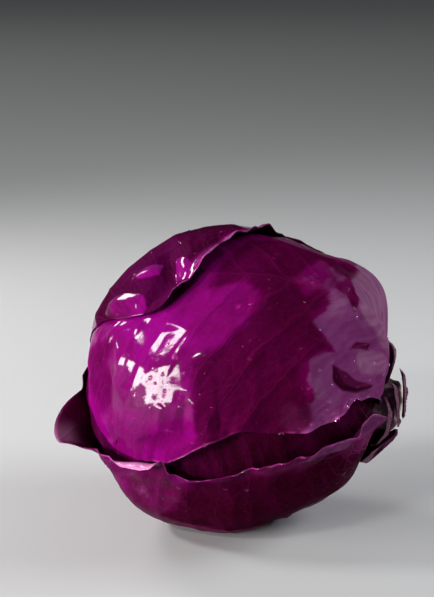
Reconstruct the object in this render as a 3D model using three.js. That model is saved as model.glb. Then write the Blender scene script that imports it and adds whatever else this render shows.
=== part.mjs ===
// A red cabbage head lying on its side: the closed inner head, three large wrapper leaves laid
// round it, the short cut stem, and the bases of outer leaves that were trimmed away round the
// stem.
//
// Millimetres and degrees. +Z is up, the head rests on z = 0, and -Y is its front. A direction on
// the head is written [polar, turn]: polar is the angle from the stem axis, 0 at the stem and 180
// at the crown, and turn goes round that axis, 0 at the top, 90 at the front, 180 at the bottom and
// 270 at the back.
//
// Every leaf is a thin sheet laid on what is beneath it. Points on a leaf are written in its own
// chart: an angle round the leaf's middle, 0 towards the crown and 180 towards the stem, and a
// reach, the arc from the middle in degrees.

import * as THREE from "three";
import { mergeVertices } from "three/addons/utils/BufferGeometryUtils.js";

// ---- Driving dimensions ----

const INNER_RADIUS = 79.3; // of the inner head, before its lumps
const HEAD_CENTRE = new THREE.Vector3(4.27, -1.04, 80);
const STEM_AXIS = new THREE.Vector3(0.971, 0.117, -0.21).normalize();

const BLADE = 1.2; // thickness of a leaf between its ribs
const GAP = 0.9; // between one leaf and what it lies on
const STEP_CLEAR = 9; // a leaf keeps its full height this far outside the rim of one beneath it,
const STEP_RUN = 15; // and then comes down over this length

const STEM_RADIUS = 15;
const STEM_FOOT = 70.5; // distance of the foot of the stem from the head's centre, along the stem axis
const STEM_END = 88.5; // and of its cut end
const TOUCH = 0.3; // gap between pieces that touch
const INNER_SLACK = 0.9; // the inner head stands this much further clear of the leaves
const LEAF_START = 11; // polar angle at which the leaves leave the stem

const LEAF_CELLS = 28; // grid cells along one side of a leaf's sheet
const INNER_CELLS = 15; // along one side of each of the six faces of the inner head's grid
const STEM_SIDES = 28;

const COLOURS = {
  inner: 0x4a0a35,
  front: 0x8a0466,
  top: 0x6b0a50,
  lower: 0x5c0740,
  base: 0x7d4a6b,
  cut: 0xc9a9b4,
};

// ---- The head's own shape ----

// Broad lumps and flats of the whole head: where, how wide in degrees, and how far they rise.
const LUMPS = [
  { at: [96, 150], spread: 50, rise: 2.2 },
  { at: [0, 0], spread: 24, rise: -10 },
  { at: [47, 4], spread: 16, rise: 9 },
  { at: [56, 36], spread: 14, rise: 4 },
  { at: [74, 353], spread: 12, rise: -1.2 },
  { at: [88, 352], spread: 20, rise: -2.4 },
  { at: [56, 152], spread: 22, rise: -6.4 },
  { at: [38, 165], spread: 12, rise: 3 },
  { at: [121, 162], spread: 18, rise: 4.2 },
  { at: [152, 158], spread: 14, rise: 2.2 },
  { at: [22, 100], spread: 13, rise: -3.4 },
  { at: [152, 20], spread: 20, rise: 1.4 },
  { at: [170, 190], spread: 17, rise: 1.8 },
  { at: [118, 66], spread: 17, rise: 1.6 },
  { at: [70, 84], spread: 12, rise: 2.0 },
  { at: [96, 330], spread: 24, rise: -1.2 },
  { at: [84, 250], spread: 26, rise: 1.8 },
  { at: [128, 280], spread: 20, rise: -1.4 },
  { at: [92, 62], spread: 11, rise: -1.0 },
];

// Furrows: the leaf each shows on, the points it passes, its half width and its depth. What lies
// beneath that leaf has a wider hollow there, and leaves above it bridge it.
const FURROWS = [
  { on: "top_leaf", path: [[130, 8], [129, 34], [136, 46]], width: 7, depth: 3.2 },
  { on: "front_leaf", path: [[68, 60], [63, 69], [52, 69]], width: 7, depth: 3.4 },
  { on: "front_leaf", path: [[56, 55], [40, 43]], width: 6, depth: 2.2 },
  { on: "front_leaf", path: [[142, 60], [130, 62], [118, 56]], width: 9, depth: 1.6 },
  { on: "inner_head", path: [[97, 92], [106, 112]], width: 8, depth: 2.4 },
  { on: "top_leaf", path: [[112, 245], [96, 262], [70, 262]], width: 10, depth: 2.2 },
];
const HOLLOW = 1.6; // how much wider and deeper a hollow is than the furrow above it
const FURROW_END = 0.35; // share of its depth that a furrow has at its ends

// ---- Leaves, from the innermost out ----

// rim: [angle round the leaf, reach, outward bend of the edge, length of that bend in mm]. An edge
// that another leaf covers has no bend. ribs: how far the midrib and the side ribs stand out at the
// stem, and the lean of the side ribs.
const LEAVES = [
  {
    name: "front_leaf",
    centre: [95, 35],
    rim: [
      [0, 84, 0, 12], [20, 92, 0, 12], [38, 94, 0, 12], [50, 88, 4, 12], [60, 81, 18, 12],
      [68, 73, 32, 13], [77, 65, 30, 13], [86, 59, 8, 10], [98, 58, 6, 8], [112, 59, 20, 8],
      [124, 58, 50, 9], [136, 56.5, 52, 9], [147, 60.5, 30, 8], [159, 72, 2, 8], [171, 80, 0, 8],
      [180, 82.4, 0, 8], [194, 84, 0, 8], [210, 84, 0, 10], [240, 78, 0, 12], [275, 74, 0, 12],
      [310, 74, 0, 12], [338, 78, 0, 12],
    ],
    ribs: { height: 2.2, side: 1.0, lean: 48 },
    colour: COLOURS.front,
  },
  {
    name: "top_leaf",
    centre: [100, 295],
    rim: [
      [4, 74, 0, 10], [16, 83, 0, 9], [30, 95, 0, 8], [41, 101, 2, 8], [49, 101.5, 10, 8],
      [57, 97, 32, 11], [66, 91.5, 44, 14], [76, 83.5, 40, 14], [86, 76, 30, 13], [93, 69, 15, 10],
      [100, 62, 6, 8], [109, 58, 6, 8], [120, 57, 4, 8], [134, 60, 2, 8], [148, 69, 0, 8],
      [160, 79, 0, 8], [170, 85.5, 0, 8], [180, 87.7, 0, 8], [190, 89, 0, 8], [200, 94, 0, 10],
      [216, 95, 0, 10], [240, 88, 0, 12], [270, 84, 0, 12], [300, 80, 0, 12], [328, 74, 0, 12],
      [350, 70, 0, 10],
    ],
    ribs: { height: 2.2, side: 1.0, lean: 50 },
    colour: COLOURS.top,
  },
  {
    name: "lower_leaf",
    centre: [98, 195],
    rim: [
      [3, 68, 0, 12], [14, 68, 6, 12], [30, 71, 10, 12], [60, 79, 14, 12], [90, 87, 20, 12],
      [120, 94, 16, 12], [145, 99, 10, 10], [162, 97, 6, 8], [172, 88, 0, 8], [180, 86, 0, 8],
      [188, 88, 0, 8], [197, 98, 4, 9], [209, 109.5, 24, 14], [220, 114.5, 42, 17],
      [231, 112.5, 38, 16], [242, 107, 24, 13], [256, 98.5, 22, 10], [264, 93.5, 22, 10],
      [274, 86.5, 22, 10], [286, 78.5, 26, 10], [293.5, 75.5, 30, 10], [297.3, 83, 60, 13],
      [301, 84, 118, 16], [305.5, 80.5, 130, 15], [310, 75, 122, 12], [314.5, 70, 80, 10],
      [319, 65.5, 34, 9], [324, 63, 16, 9], [333, 59, 24, 12], [341, 64, 70, 28],
      [348, 67.5, 70, 30], [355, 67, 14, 16],
    ],
    ribs: { height: 2.2, side: 1.0, lean: 50 },
    colour: COLOURS.lower,
  },
];

// Stumps of the trimmed leaves that clasp the stem. cut: the first, the middle and the last place
// of its cut edge, each with its turn, its distance from the stem axis and its height, which is
// measured along that axis. foot: its heights on the side of the stem at the same three turns; where
// that is past the stem's own cut end, the same cut has made it flat. thick: its greatest thickness.
const LEAF_BASES = [
  {
    name: "cut_leaf_base_1",
    cut: [[128, 30, 77.6], [184, 34, 76.5], [240, 32, 77]],
    foot: [92, 91, 88],
    thick: 5,
  },
  {
    name: "cut_leaf_base_2",
    cut: [[256, 30, 77], [323, 34, 78.6], [390, 35, 76.6]],
    foot: [82, 83, 78],
    thick: 3,
  },
  {
    name: "cut_leaf_base_3",
    cut: [[66, 23, 75.5], [106, 26, 80.8], [146, 25, 75.6]],
    foot: [80, 84.3, 83],
    thick: 2.8,
  },
  {
    name: "cut_leaf_base_4",
    cut: [[34, 20, 78.8], [70, 22, 83.4], [106, 21, 86]],
    foot: [82, 85, 86.8],
    thick: 2.2,
  },
  {
    name: "cut_leaf_base_5",
    cut: [[-6, 21, 86], [44, 20, 87.7], [94, 20, 88]],
    foot: [89, 89, 89],
    thick: 1.8,
  },
];
const BASE_ENDS = 0.35; // share of its thickness that a stump has at its two ends
const BASE_RAGGED = 0.4; // in and out of the cut edge
const BASE_CELLS = [14, 3]; // round the stem, and away from it

const RIB_END = 0.92; // share of the way to the tip at which the midrib has run out
const RIB_HALF_WIDTHS = [18, 5]; // of the midrib, at the stem and at its end
const RIB_SPARE = 10; // the hollow over a midrib is wider than it on each side by this much
const SIDE_RIB_SPACING = 21; // along the midrib
const SIDE_RIB_HALF_WIDTH = 6;
const SIDE_RIB_SWEEP = 0.0016; // how fast a side rib curves towards the crown, per mm
const SIDE_RIB_RUN = [14, 120]; // distances from the midrib at which a side rib is full and has run out
const FREE_BEND = 15; // an edge that bends out this much is wholly free, one with no bend lies under a leaf
const FREE_EDGE = { length: 6, thinner: 0.3 }; // a free edge thins by this share over its last stretch
const EDGE_WAVE = { height: 1.1, counts: [17, 29], depth: 16 }; // of a free edge; depth: how far in
const RIM_RIPPLE = { reach: 0.7, counts: [11, 23] }; // in and out, in degrees

// ---- Small helpers ----

const { degToRad, radToDeg, clamp, lerp, smoothstep } = THREE.MathUtils;
const MM_PER_DEGREE = degToRad(1) * (INNER_RADIUS + GAP + BLADE);
const bump = (x) => Math.exp(-x * x);
// 1 at the middle and 0 from distance 1 on, with no corner.
const ridge = (x) => (Math.abs(x) < 1 ? (1 - x * x) ** 2 : 0);

const TOP = new THREE.Vector3(0, 0, 1).addScaledVector(STEM_AXIS, -STEM_AXIS.z).normalize();
const FRONT = new THREE.Vector3().crossVectors(STEM_AXIS, TOP).normalize();
if (FRONT.y > 0) FRONT.negate();

function onHead([polar, turn]) {
  const p = degToRad(polar);
  const t = degToRad(turn);
  return new THREE.Vector3()
    .addScaledVector(STEM_AXIS, Math.cos(p))
    .addScaledVector(TOP, Math.sin(p) * Math.cos(t))
    .addScaledVector(FRONT, Math.sin(p) * Math.sin(t));
}

// A smooth closed curve through rows that start with their angle: the other columns at any angle.
function alongRim(rows, angle) {
  const n = rows.length;
  const a = ((angle % 360) + 360) % 360;
  let i = rows.findIndex((row) => row[0] > a) - 1;
  if (i < 0) i = a < rows[0][0] ? -1 : n - 1;
  const row = (k) => rows[((k % n) + n) % n];
  const at = (k) => row(k)[0] + 360 * Math.floor(k / n);
  const width = at(i + 1) - at(i);
  const t = (a - at(i)) / width;
  return row(i).slice(1).map((_, column) => {
    const value = (k) => row(k)[column + 1];
    const slope = (k) => (value(k + 1) - value(k - 1)) / (at(k + 1) - at(k - 1));
    const [v0, v1, m0, m1] = [value(i), value(i + 1), slope(i) * width, slope(i + 1) * width];
    return v0 + t * m0 + t * t * (3 * (v1 - v0) - 2 * m0 - m1) + t ** 3 * (2 * (v0 - v1) + m0 + m1);
  });
}

// Distance in mm from a direction to a path of directions, and the share of the path at the nearest
// point.
function distanceToPath(d, path) {
  let best = Infinity;
  let share = 0;
  for (let i = 0; i + 1 < path.length; i++) {
    const [a, b] = [path[i], path[i + 1]];
    const along = b.clone().sub(a);
    const t = clamp(d.clone().sub(a).dot(along) / along.lengthSq(), 0, 1);
    const apart = a.clone().addScaledVector(along, t).distanceTo(d) * INNER_RADIUS;
    if (apart < best) [best, share] = [apart, (i + t) / (path.length - 1)];
  }
  return [best, share];
}

// ---- The inner head ----

const lumps = LUMPS.map(({ at, spread, rise }) => ({ middle: onHead(at), spread, rise }));
const furrows = FURROWS.map(({ on, path, width, depth }) => {
  const layer = LEAVES.findIndex((leaf) => leaf.name === on);
  return { layer, path: path.map(onHead), width, depth };
});
// Height of the inner head's flat underside: the leaf that the head rests on lies beneath it.
const INNER_FOOT = GAP + BLADE;

// Radius of the inner head as leaf number k meets it, or its own for k = -1.
function innerRadius(d, k) {
  let radius = INNER_RADIUS;
  for (const { middle, spread, rise } of lumps) radius += rise * bump(radToDeg(d.angleTo(middle)) / spread);
  for (const { layer, path, width, depth } of furrows) {
    if (k > layer) continue;
    const size = k === layer ? 1 : HOLLOW;
    const [apart, share] = distanceToPath(d, path);
    radius -= size * depth * bump(apart / (size * width)) * lerp(FURROW_END, 1, Math.sin(Math.PI * share));
  }
  if (d.z < 0) radius = Math.min(radius, (HEAD_CENTRE.z - INNER_FOOT) / -d.z);
  return k < 0 ? radius - INNER_SLACK : radius;
}

// ---- Leaf surfaces ----

for (const leaf of LEAVES) {
  const [polar, turn] = leaf.centre;
  leaf.middle = onHead(leaf.centre);
  leaf.toTip = onHead([polar + 90, turn]);
  leaf.toSide = onHead([90, turn + 90]);
  leaf.rimAt = (angle) => {
    const [reach, bend, run] = alongRim(leaf.rim, angle);
    const [few, many] = RIM_RIPPLE.counts;
    const free = clamp(bend / FREE_BEND, 0, 1);
    const ripple = Math.sin(degToRad(few * angle + polar)) + 0.6 * Math.sin(degToRad(many * angle + turn));
    return { reach: reach + RIM_RIPPLE.reach * free * ripple, bend: Math.max(0, bend), run, free };
  };
}

const leafDirection = (leaf, reach, angle) => {
  const [r, a] = [degToRad(reach), degToRad(angle)];
  return leaf.middle
    .clone()
    .multiplyScalar(Math.cos(r))
    .addScaledVector(leaf.toTip, Math.sin(r) * Math.cos(a))
    .addScaledVector(leaf.toSide, Math.sin(r) * Math.sin(a));
};

const leafChart = (leaf, d) => ({
  reach: radToDeg(d.angleTo(leaf.middle)),
  angle: radToDeg(Math.atan2(d.dot(leaf.toSide), d.dot(leaf.toTip))),
});

// How far the ribs stand out of the blade, at a point of the leaf's chart, or with the hollows
// between the side ribs filled, which is what a leaf on top of them lies on.
function ribHeight(leaf, reach, angle, filled = false) {
  const along = reach * Math.cos(degToRad(angle)) * MM_PER_DEGREE;
  const across = Math.abs(reach * Math.sin(degToRad(angle)) * MM_PER_DEGREE);
  const base = (LEAF_START - leaf.centre[0]) * MM_PER_DEGREE;
  const tip = leaf.rimAt(0).reach * MM_PER_DEGREE * RIB_END;
  const share = clamp((along - base) / (tip - base), 0, 1);
  const halfWidth = lerp(...RIB_HALF_WIDTHS, Math.sqrt(share)) + (filled ? RIB_SPARE : 0);
  const midrib = leaf.ribs.height * (1 - share) ** 1.2 * ridge(across / halfWidth);

  const lean = degToRad(leaf.ribs.lean);
  const foot = along - across / Math.tan(lean) + SIDE_RIB_SWEEP * across ** 2 - base;
  const nearest = Math.round(foot / SIDE_RIB_SPACING) * SIDE_RIB_SPACING;
  const apart = (foot - nearest) * Math.sin(lean);
  const [full, end] = SIDE_RIB_RUN;
  const fade = clamp(1 - across / end, 0, 1) * smoothstep(across, 0, full) * (1 - 0.6 * share);
  const shape = filled ? 1 : ridge(apart / SIDE_RIB_HALF_WIDTH);
  const sideRib = nearest > 0 ? leaf.ribs.side * fade * shape : 0;
  return Math.max(midrib, sideRib);
}

// Radius of the top of the pile of leaves below leaf number k, with each lower leaf's rim as a
// smooth step.
function pileRadius(d, k) {
  let radius = innerRadius(d, k);
  for (const leaf of LEAVES.slice(0, k)) {
    const { reach, angle } = leafChart(leaf, d);
    const inside = (leaf.rimAt(angle).reach - reach) * MM_PER_DEGREE;
    const cover = smoothstep(inside, -STEP_CLEAR - STEP_RUN, -STEP_CLEAR);
    if (cover > 0) radius += cover * (GAP + BLADE + ribHeight(leaf, reach, angle, true));
  }
  return radius;
}

// A point of leaf number k: share is its way from the middle to the rim, and outer picks the face.
// The last stretch of a free edge bends away from the head on an arc and is waved.
function leafPoint(k, angle, share, outer) {
  const leaf = LEAVES[k];
  const { reach, bend, run, free } = leaf.rimAt(angle);
  const length = reach * share * MM_PER_DEGREE;
  const bent = Math.max(0, length - (reach * MM_PER_DEGREE - run));
  const curvature = degToRad(Math.max(bend, 0.5)) / run;
  const turned = curvature * bent;
  const flat = (length - bent + Math.sin(turned) / curvature) / MM_PER_DEGREE;
  const rise = (1 - Math.cos(turned)) / curvature;
  const d = leafDirection(leaf, flat, angle);
  const outward = leafDirection(leaf, flat + 90, angle);
  const normal = d.clone().multiplyScalar(Math.cos(turned)).addScaledVector(outward, -Math.sin(turned));

  const fromRim = reach * MM_PER_DEGREE - length;
  const [few, many] = EDGE_WAVE.counts;
  const wave = Math.sin(degToRad(few * angle)) + 0.6 * Math.sin(degToRad(many * angle + 50));
  const lift = EDGE_WAVE.height * free * (1 + wave) * (1 - smoothstep(fromRim, 0, EDGE_WAVE.depth));

  const point = d.clone().multiplyScalar(pileRadius(d, k) + GAP + rise).addScaledVector(normal, lift);
  if (outer) {
    const thinner = FREE_EDGE.thinner * free * (1 - smoothstep(fromRim, 0, FREE_EDGE.length));
    point.addScaledVector(normal, BLADE * (1 - thinner) + ribHeight(leaf, flat, angle));
    const depth = -point.z;
    if (depth > HEAD_CENTRE.z) point.multiplyScalar(HEAD_CENTRE.z / depth);
  }
  return point;
}

// ---- Meshes ----

// Turns a grid of corner indices into triangles, all its quads split the same way.
function gridTriangles(columns, rows, index, triangles, flip = false) {
  for (let i = 0; i < columns; i++)
    for (let j = 0; j < rows; j++) {
      const [a, b, c, d] = [index(i, j), index(i + 1, j), index(i + 1, j + 1), index(i, j + 1)];
      triangles.push(...(flip ? [a, c, b, a, d, c] : [a, b, c, a, c, d]));
    }
}

function meshOf(name, points, triangles, colour, roughness) {
  const geometry = new THREE.BufferGeometry();
  const places = points.flatMap((p) => p.toArray());
  geometry.setAttribute("position", new THREE.Float32BufferAttribute(places, 3));
  geometry.setIndex(triangles);
  geometry.computeVertexNormals();
  const material = new THREE.MeshStandardMaterial({ color: colour, roughness, metalness: 0 });
  const mesh = new THREE.Mesh(geometry, material);
  mesh.name = name;
  mesh.position.copy(HEAD_CENTRE);
  return mesh;
}

// A closed sheet: face(u, v, outer) gives its two faces over a square grid, and a band joins their
// edges.
function sheetMesh(name, columns, rows, face, colour, roughness) {
  const points = [];
  for (const outer of [false, true])
    for (let j = 0; j <= rows; j++)
      for (let i = 0; i <= columns; i++) points.push(face(i / columns, j / rows, outer));
  const index = (outer) => (i, j) => (outer ? (columns + 1) * (rows + 1) : 0) + j * (columns + 1) + i;
  const triangles = [];
  gridTriangles(columns, rows, index(true), triangles);
  gridTriangles(columns, rows, index(false), triangles, true);
  const edge = [];
  for (let i = 0; i < columns; i++) edge.push([i, 0]);
  for (let j = 0; j < rows; j++) edge.push([columns, j]);
  for (let i = columns; i > 0; i--) edge.push([i, rows]);
  for (let j = rows; j > 0; j--) edge.push([0, j]);
  edge.forEach((from, n) => {
    const to = edge[(n + 1) % edge.length];
    const [a, b] = [index(false)(...from), index(false)(...to)];
    const [c, d] = [index(true)(...to), index(true)(...from)];
    triangles.push(a, b, c, a, c, d);
  });
  return meshOf(name, points, triangles, colour, roughness);
}

// The square [0, 1] x [0, 1] laid evenly on a disc: its angle in degrees and its share of the
// radius.
function onDisc(u, v) {
  const [x, y] = [2 * u - 1, 2 * v - 1];
  if (x === 0 && y === 0) return [0, 0];
  const wide = Math.abs(x) > Math.abs(y);
  const radius = wide ? x : y;
  const angle = wide ? 45 * (y / x) : 90 - 45 * (x / y);
  return radius < 0 ? [angle + 180, -radius] : [angle, radius];
}

function leafMesh(k) {
  const leaf = LEAVES[k];
  const face = (u, v, outer) => leafPoint(k, ...onDisc(u, v), outer);
  return sheetMesh(leaf.name, LEAF_CELLS, LEAF_CELLS, face, leaf.colour, 0.35);
}

// The inner head: the six faces of a cube's grid, blown up to its radius in every direction.
function innerHeadMesh() {
  const cube = new THREE.BoxGeometry(2, 2, 2, INNER_CELLS, INNER_CELLS, INNER_CELLS);
  cube.deleteAttribute("normal");
  cube.deleteAttribute("uv");
  const grid = mergeVertices(cube, 1e-4);
  const corners = grid.getAttribute("position");
  const evenly = (x) => Math.tan((x * Math.PI) / 4);
  const points = [];
  for (let i = 0; i < corners.count; i++) {
    const corner = new THREE.Vector3().fromBufferAttribute(corners, i);
    const d = new THREE.Vector3(...corner.toArray().map(evenly)).normalize();
    points.push(d.clone().multiplyScalar(innerRadius(d, -1)));
  }
  return meshOf("inner_head", points, [...grid.index.array], COLOURS.inner, 0.4);
}

// The stem: a turned stub with a slightly domed cut end, set in the dimple of the inner head.
function stemMesh() {
  const profile = [
    [0, STEM_FOOT],
    [STEM_RADIUS, STEM_FOOT],
    [STEM_RADIUS, STEM_FOOT + 8],
    [STEM_RADIUS - 1, STEM_END - 2],
    [STEM_RADIUS - 2.2, STEM_END - 0.6],
    [STEM_RADIUS - 6, STEM_END],
    [0, STEM_END],
  ].map(([radius, height]) => new THREE.Vector2(radius, height));
  const geometry = new THREE.LatheGeometry(profile, STEM_SIDES);
  const material = new THREE.MeshStandardMaterial({ color: COLOURS.cut, roughness: 0.7, metalness: 0 });
  const mesh = new THREE.Mesh(geometry, material);
  mesh.name = "stem_stub";
  mesh.quaternion.setFromUnitVectors(new THREE.Vector3(0, 1, 0), STEM_AXIS);
  mesh.position.copy(HEAD_CENTRE);
  return mesh;
}

// Value at a place between -1 and 1 of the smooth curve through three evenly spaced values.
const through = ([first, middle, last], place) =>
  middle + ((last - first) / 2) * place + ((first + last) / 2 - middle) * place ** 2;

// The stump of a trimmed leaf: a cone-like collar from the side of the stem to its cut edge,
// thinner at both ends.
function leafBaseMesh({ name, cut, foot, thick }) {
  const columns = [0, 1, 2].map((column) => cut.map((row) => row[column]));
  const face = (u, v, outer) => {
    const place = 1 - 2 * u;
    const [turn, reach, height] = columns.map((values) => through(values, place));
    const away = lerp(STEM_RADIUS + TOUCH, reach + BASE_RAGGED * Math.sin(9 * place), v);
    const thickness = outer ? 0 : thick * lerp(1, BASE_ENDS, place ** 2);
    const along = Math.min(lerp(through(foot, place), height, v), STEM_END) - thickness;
    const d = onHead([radToDeg(Math.atan2(away, along)), turn]);
    const clear = pileRadius(d, LEAVES.length) + GAP;
    return d.multiplyScalar(Math.max(Math.hypot(away, along), clear));
  };
  return sheetMesh(name, ...BASE_CELLS, face, COLOURS.base, 0.5);
}

const cabbage = new THREE.Group();
cabbage.add(innerHeadMesh());
LEAVES.forEach((_, k) => cabbage.add(leafMesh(k)));
cabbage.add(stemMesh());
LEAF_BASES.forEach((base) => cabbage.add(leafBaseMesh(base)));

export default cabbage;
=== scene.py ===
"""A wet red cabbage head lying on its side, on a pale floor.

Lengths are in millimetres until a mesh is made, and angles are in degrees. A direction on the head is written
(polar, turn): polar is the angle from the stem axis, 0 at the stem and 180 at the crown, and turn goes round
that axis, 0 at the top, 90 at the front, 180 at the bottom and 270 at the back. A point on a leaf is written
in the leaf's own chart: an angle round its middle, 0 towards the crown and 180 towards the stem, and a reach.
"""

import bpy
import numpy as np
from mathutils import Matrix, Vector


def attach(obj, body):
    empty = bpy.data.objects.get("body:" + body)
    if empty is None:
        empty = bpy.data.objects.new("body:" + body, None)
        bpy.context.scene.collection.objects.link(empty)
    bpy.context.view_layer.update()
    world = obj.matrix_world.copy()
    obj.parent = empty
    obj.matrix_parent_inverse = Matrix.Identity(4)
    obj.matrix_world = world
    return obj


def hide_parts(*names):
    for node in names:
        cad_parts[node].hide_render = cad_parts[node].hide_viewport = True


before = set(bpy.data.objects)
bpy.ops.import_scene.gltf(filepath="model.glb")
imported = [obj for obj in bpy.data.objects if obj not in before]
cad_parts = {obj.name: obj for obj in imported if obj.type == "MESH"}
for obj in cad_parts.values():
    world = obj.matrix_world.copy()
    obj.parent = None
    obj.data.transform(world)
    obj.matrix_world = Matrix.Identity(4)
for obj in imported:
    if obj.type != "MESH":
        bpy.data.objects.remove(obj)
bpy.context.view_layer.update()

MM = 0.001

# ---- The head, as in the part ----

INNER_RADIUS = 79.3  # before lumps and furrows
HEAD_CENTRE = np.array([4.27, -1.04, 80.0])
STEM_AXIS = np.array([0.971, 0.117, -0.21])
BLADE = 1.2  # from a leaf's underside to its outside, between its ribs
GAP = 0.9  # between one leaf and what it lies on
STEP_CLEAR, STEP_RUN = 9.0, 15.0  # how far past a rim beneath it a leaf stays up, and then comes down
STEM_RADIUS, STEM_FOOT, STEM_END = 15.0, 70.5, 88.5  # foot and cut end: along the axis from the head's centre
LEAF_START = 11.0  # polar angle at which the leaves leave the stem
TOUCH = 0.3  # gap between pieces that touch
HOLLOW = 1.6  # how much wider and deeper a hollow is than the furrow above it
FURROW_END = 0.35  # share of its depth that a furrow has at its ends

# Broad lumps and flats: polar, turn, spread in degrees, rise.
LUMPS = [
    (96, 150, 50, 2.2), (0, 0, 24, -10), (47, 4, 16, 9), (56, 36, 14, 4), (74, 353, 12, -1.2),
    (88, 352, 20, -2.4), (56, 152, 22, -6.4), (38, 165, 12, 3), (121, 162, 18, 4.2), (152, 158, 14, 2.2),
    (22, 100, 13, -3.4), (152, 20, 20, 1.4), (170, 190, 17, 1.8), (118, 66, 17, 1.6), (70, 84, 12, 2.0),
    (96, 330, 24, -1.2), (84, 250, 26, 1.8), (128, 280, 20, -1.4), (92, 62, 11, -1.0),
]

# Furrows: the leaf each shows on, its path, half width and depth.
FURROWS = [
    ("top", [(130, 8), (129, 34), (136, 46)], 7, 3.2),
    ("front", [(68, 60), (63, 69), (52, 69)], 7, 3.4),
    ("front", [(56, 55), (40, 43)], 6, 2.2),
    ("front", [(142, 60), (130, 62), (118, 56)], 9, 1.6),
    ("inner", [(97, 92), (106, 112)], 8, 2.4),
    ("top", [(112, 245), (96, 262), (70, 262)], 10, 2.2),
]

# Leaves from the innermost out. centre: polar, turn. lean: of the side ribs. rim: angle, reach, outward bend
# of the edge and the length of that bend.
LEAVES = [
    {
        "name": "front", "centre": (95, 35), "lean": 48,
        "rim": [
            (0, 84, 0, 12), (20, 92, 0, 12), (38, 94, 0, 12), (50, 88, 4, 12), (60, 81, 18, 12),
            (68, 73, 32, 13), (77, 65, 30, 13), (86, 59, 8, 10), (98, 58, 6, 8), (112, 59, 20, 8),
            (124, 58, 50, 9), (136, 56.5, 52, 9), (147, 60.5, 30, 8), (159, 72, 2, 8), (171, 80, 0, 8),
            (180, 82.4, 0, 8), (194, 84, 0, 8), (210, 84, 0, 10), (240, 78, 0, 12), (275, 74, 0, 12),
            (310, 74, 0, 12), (338, 78, 0, 12),
        ],
    },
    {
        "name": "top", "centre": (100, 295), "lean": 50,
        "rim": [
            (4, 74, 0, 10), (16, 83, 0, 9), (30, 95, 0, 8), (41, 101, 2, 8), (49, 101.5, 10, 8),
            (57, 97, 32, 11), (66, 91.5, 44, 14), (76, 83.5, 40, 14), (86, 76, 30, 13), (93, 69, 15, 10),
            (100, 62, 6, 8), (109, 58, 6, 8), (120, 57, 4, 8), (134, 60, 2, 8), (148, 69, 0, 8),
            (160, 79, 0, 8), (170, 85.5, 0, 8), (180, 87.7, 0, 8), (190, 89, 0, 8), (200, 94, 0, 10),
            (216, 95, 0, 10), (240, 88, 0, 12), (270, 84, 0, 12), (300, 80, 0, 12), (328, 74, 0, 12),
            (350, 70, 0, 10),
        ],
    },
    {
        "name": "lower", "centre": (98, 195), "lean": 50,
        "rim": [
            (3, 68, 0, 12), (14, 68, 6, 12), (30, 71, 10, 12), (60, 79, 14, 12), (90, 87, 20, 12),
            (120, 94, 16, 12), (145, 99, 10, 10), (162, 97, 6, 8), (172, 88, 0, 8), (180, 86, 0, 8),
            (188, 88, 0, 8), (197, 98, 4, 9), (209, 109.5, 24, 14), (220, 114.5, 42, 17),
            (231, 112.5, 38, 16), (242, 107, 24, 13), (256, 98.5, 22, 10), (264, 93.5, 22, 10),
            (274, 86.5, 22, 10), (286, 78.5, 26, 10), (293.5, 75.5, 30, 10), (297.3, 83, 60, 13),
            (301, 84, 118, 16), (305.5, 80.5, 130, 15), (310, 75, 122, 12), (314.5, 70, 80, 10),
            (319, 65.5, 34, 9), (324, 63, 16, 9), (333, 59, 24, 12), (341, 64, 70, 28),
            (348, 67.5, 70, 30), (355, 67, 14, 16),
        ],
    },
]

# Stumps of the trimmed leaves: three places along the cut edge (turn, distance from the stem axis, height
# along it), the heights on the stem at the same turns, and the greatest thickness.
LEAF_BASES = [
    ([(128, 30, 77.6), (184, 34, 76.5), (240, 32, 77)], (92, 91, 88), 5),
    ([(256, 30, 77), (323, 34, 78.6), (390, 35, 76.6)], (82, 83, 78), 3),
    ([(66, 23, 75.5), (106, 26, 80.8), (146, 25, 75.6)], (80, 84.3, 83), 2.8),
    ([(34, 20, 78.8), (70, 22, 83.4), (106, 21, 86)], (82, 85, 86.8), 2.2),
    ([(-6, 21, 86), (44, 20, 87.7), (94, 20, 88)], (89, 89, 89), 1.8),
]
BASE_ENDS = 0.35  # share of its thickness that a stump has at its two ends
BASE_RAGGED = 0.4  # in and out of the cut edge

RIB_HEIGHT, SIDE_RIB_HEIGHT = 2.2, 1.0
RIB_END = 0.92  # share of the way to the tip at which the midrib has run out
RIB_HALF_WIDTHS = (18, 5)  # of the midrib, at the stem and at its end
RIB_SPARE = 10  # the hollow over a midrib is wider than it on each side by this much
SIDE_RIB_SPACING = 21  # along the midrib
SIDE_RIB_HALF_WIDTH = 6
SIDE_RIB_SWEEP = 0.0016  # how fast a side rib curves towards the crown, per mm
SIDE_RIB_RUN = (14, 120)  # distances from the midrib at which a side rib is full and has run out
FREE_BEND = 15  # an edge that bends out this much is wholly free, one with no bend lies under a leaf
EDGE_WAVE, EDGE_WAVE_COUNTS, EDGE_WAVE_DEPTH = 1.1, (17, 29), 16  # of a free edge
RIM_RIPPLE, RIM_RIPPLE_COUNTS = 0.7, (11, 23)  # in and out, in degrees

# ---- What only the visible leaves have ----

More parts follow.
